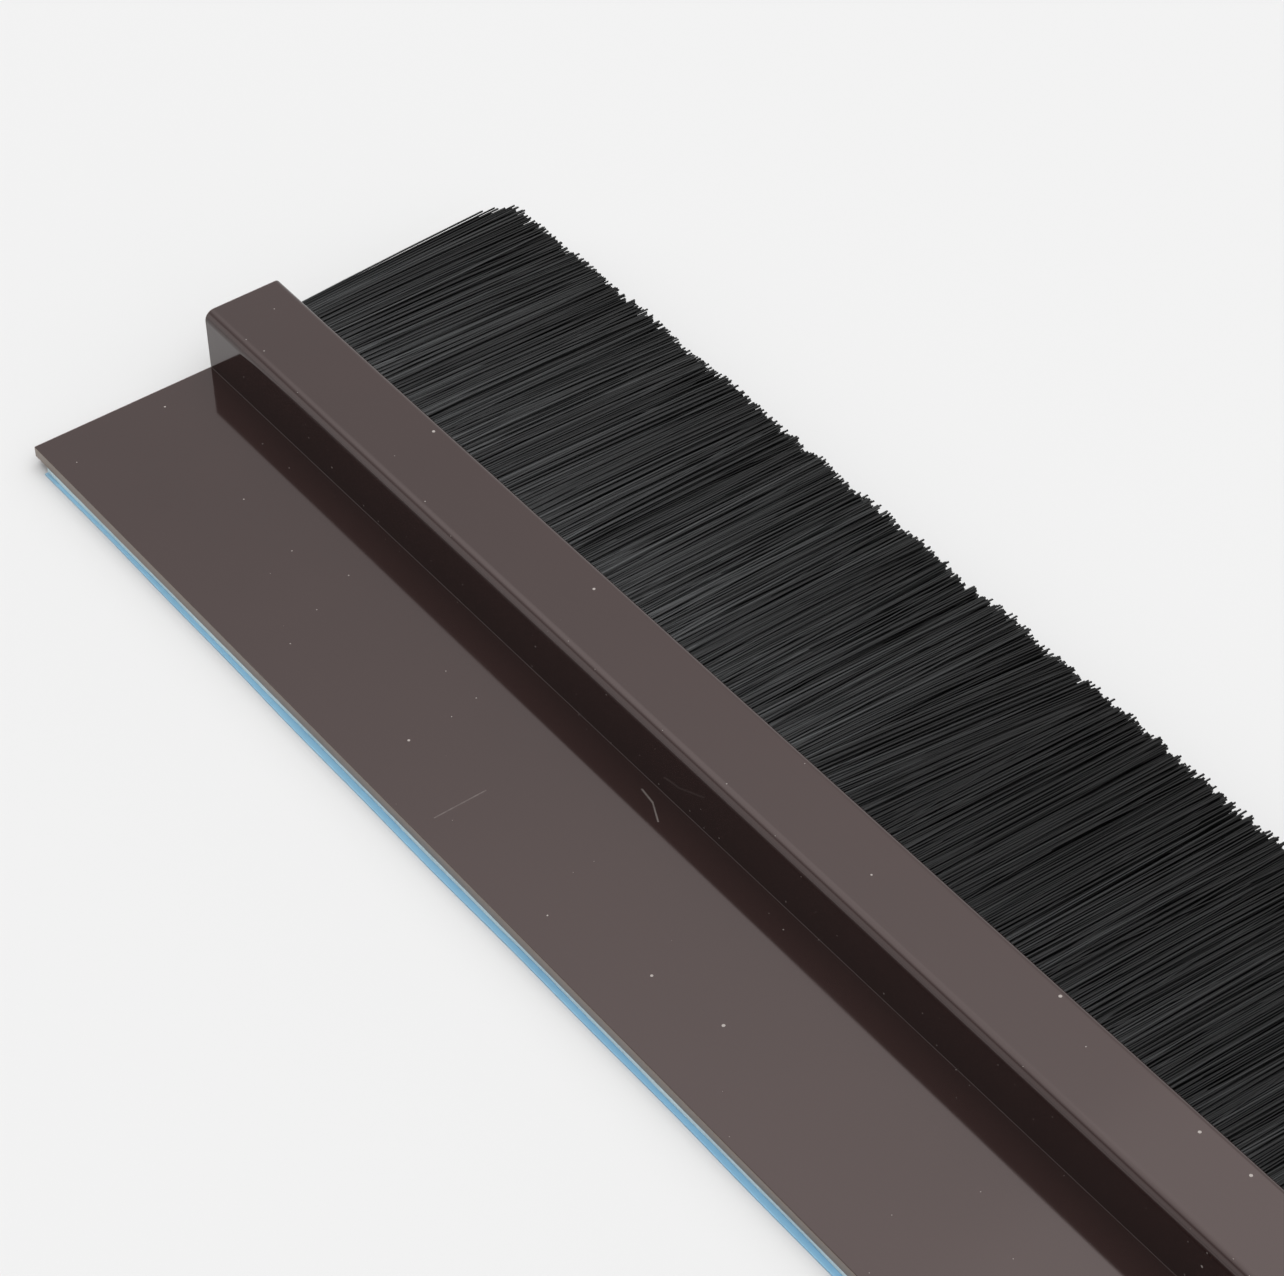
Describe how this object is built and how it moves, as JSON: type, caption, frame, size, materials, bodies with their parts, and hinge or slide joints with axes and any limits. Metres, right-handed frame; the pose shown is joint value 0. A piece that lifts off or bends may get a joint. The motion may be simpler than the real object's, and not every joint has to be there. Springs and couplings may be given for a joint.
{
  "type": "door sweep",
  "caption": "Self-adhesive brush door sweep: a brown plastic flange and channel with black filaments clamped in a steel spine, tape and a blue liner on its back.",
  "frame": {"origin": "under the middle of the part's box, on the underside of the release liner, which is the side that goes on the door", "axes": "+X along the length, +Y from the flange towards the filament tips, +Z from the door out through the flange's front face"},
  "size_m": [0.914, 0.0506, 0.0078],
  "materials": {
    "brown_pvc": "gloss",
    "tape_adhesive": "matte",
    "blue_film": "satin",
    "zinc_steel": "satin",
    "drawn_wire": "satin",
    "black_nylon": "satin"
  },
  "bodies": {
    "carrier": {"carrier_profile": "brown_pvc", "mounting_tape": "tape_adhesive"},
    "liner": {"release_liner": "blue_film"},
    "brush": {"brush_spine": "zinc_steel", "core_wire": "drawn_wire", "filament_fold": "black_nylon"},
    "bristle_01": {"bristle_section_01": "black_nylon"},
    "bristle_02": {"bristle_section_02": "black_nylon"},
    "bristle_03": {"bristle_section_03": "black_nylon"},
    "bristle_04": {"bristle_section_04": "black_nylon"},
    "bristle_05": {"bristle_section_05": "black_nylon"},
    "bristle_06": {"bristle_section_06": "black_nylon"},
    "bristle_07": {"bristle_section_07": "black_nylon"},
    "bristle_08": {"bristle_section_08": "black_nylon"},
    "bristle_09": {"bristle_section_09": "black_nylon"},
    "bristle_10": {"bristle_section_10": "black_nylon"}
  },
  "joints": [
    {"name": "brush_slide", "type": "slide", "parent": "carrier", "child": "brush", "axis": [1, 0, 0], "range_m": [0, 0.87]},
    {"name": "liner_peel", "type": "slide", "parent": "carrier", "child": "liner", "axis": [0, -1, 0], "range_m": [0, 0.03]},
    {"name": "bristle_flex_01", "type": "hinge", "parent": "brush", "child": "bristle_01", "pos_m": [0, 0.00215, 0.00425], "axis": [1, 0, 0], "range_deg": [-40, 40], "stiffness_Nm_per_rad": 0.06},
    {"name": "bristle_flex_02", "type": "hinge", "parent": "brush", "child": "bristle_02", "pos_m": [0, 0.00215, 0.00425], "axis": [1, 0, 0], "range_deg": [-40, 40], "stiffness_Nm_per_rad": 0.06},
    {"name": "bristle_flex_03", "type": "hinge", "parent": "brush", "child": "bristle_03", "pos_m": [0, 0.00215, 0.00425], "axis": [1, 0, 0], "range_deg": [-40, 40], "stiffness_Nm_per_rad": 0.06},
    {"name": "bristle_flex_04", "type": "hinge", "parent": "brush", "child": "bristle_04", "pos_m": [0, 0.00215, 0.00425], "axis": [1, 0, 0], "range_deg": [-40, 40], "stiffness_Nm_per_rad": 0.06},
    {"name": "bristle_flex_05", "type": "hinge", "parent": "brush", "child": "bristle_05", "pos_m": [0, 0.00215, 0.00425], "axis": [1, 0, 0], "range_deg": [-40, 40], "stiffness_Nm_per_rad": 0.06},
    {"name": "bristle_flex_06", "type": "hinge", "parent": "brush", "child": "bristle_06", "pos_m": [0, 0.00215, 0.00425], "axis": [1, 0, 0], "range_deg": [-40, 40], "stiffness_Nm_per_rad": 0.06},
    {"name": "bristle_flex_07", "type": "hinge", "parent": "brush", "child": "bristle_07", "pos_m": [0, 0.00215, 0.00425], "axis": [1, 0, 0], "range_deg": [-40, 40], "stiffness_Nm_per_rad": 0.06},
    {"name": "bristle_flex_08", "type": "hinge", "parent": "brush", "child": "bristle_08", "pos_m": [0, 0.00215, 0.00425], "axis": [1, 0, 0], "range_deg": [-40, 40], "stiffness_Nm_per_rad": 0.06},
    {"name": "bristle_flex_09", "type": "hinge", "parent": "brush", "child": "bristle_09", "pos_m": [0, 0.00215, 0.00425], "axis": [1, 0, 0], "range_deg": [-40, 40], "stiffness_Nm_per_rad": 0.06},
    {"name": "bristle_flex_10", "type": "hinge", "parent": "brush", "child": "bristle_10", "pos_m": [0, 0.00215, 0.00425], "axis": [1, 0, 0], "range_deg": [-40, 40], "stiffness_Nm_per_rad": 0.06}
  ]
}
